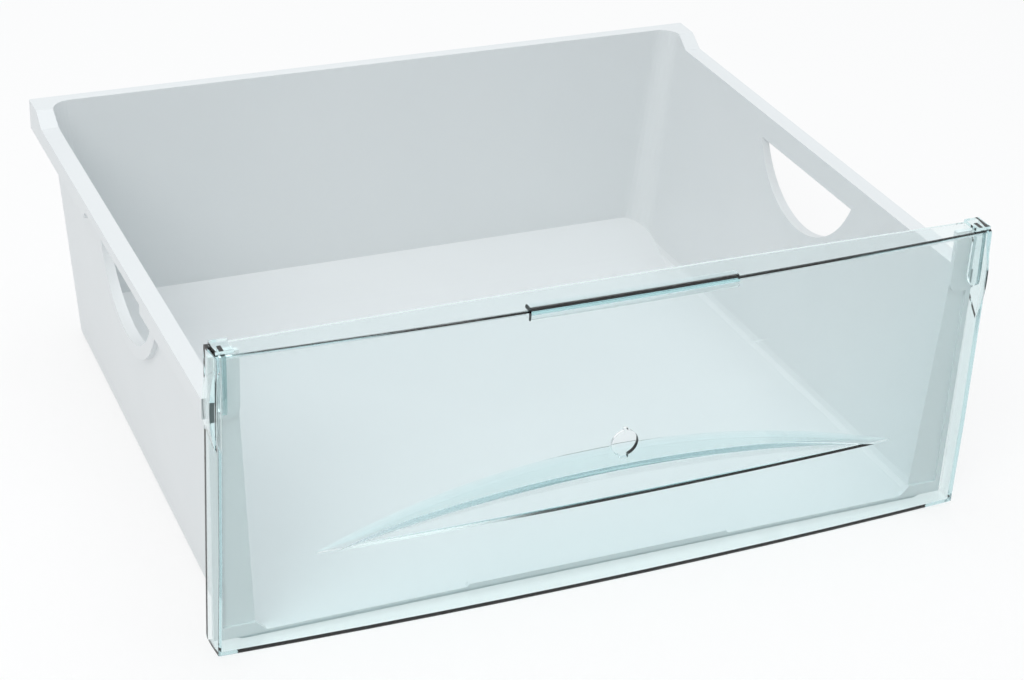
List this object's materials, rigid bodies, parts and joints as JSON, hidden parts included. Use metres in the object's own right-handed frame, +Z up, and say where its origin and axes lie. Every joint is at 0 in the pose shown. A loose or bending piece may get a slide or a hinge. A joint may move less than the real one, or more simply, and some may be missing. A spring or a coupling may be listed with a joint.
{
  "type": "freezer drawer",
  "caption": "Open-topped freezer drawer: white moulded tub with side rails, a half-moon hand hole in each side, and a clear bowed front panel with a finger grip.",
  "frame": {"origin": "centre of the drawer's footprint, on the plane of the tub's underside", "axes": "+X across the drawer to the viewer's right, +Y from the clear front panel to the rear, +Z up"},
  "size_m": [0.4586, 0.3998, 0.187],
  "materials": {
    "tub_plastic": "satin moulded polystyrene, white",
    "panel_plastic": "clear polystyrene with a light blue-green tint, polished"
  },
  "bodies": {
    "root": {"tub": "tub_plastic", "front_panel": "panel_plastic"}
  },
  "joints": []
}
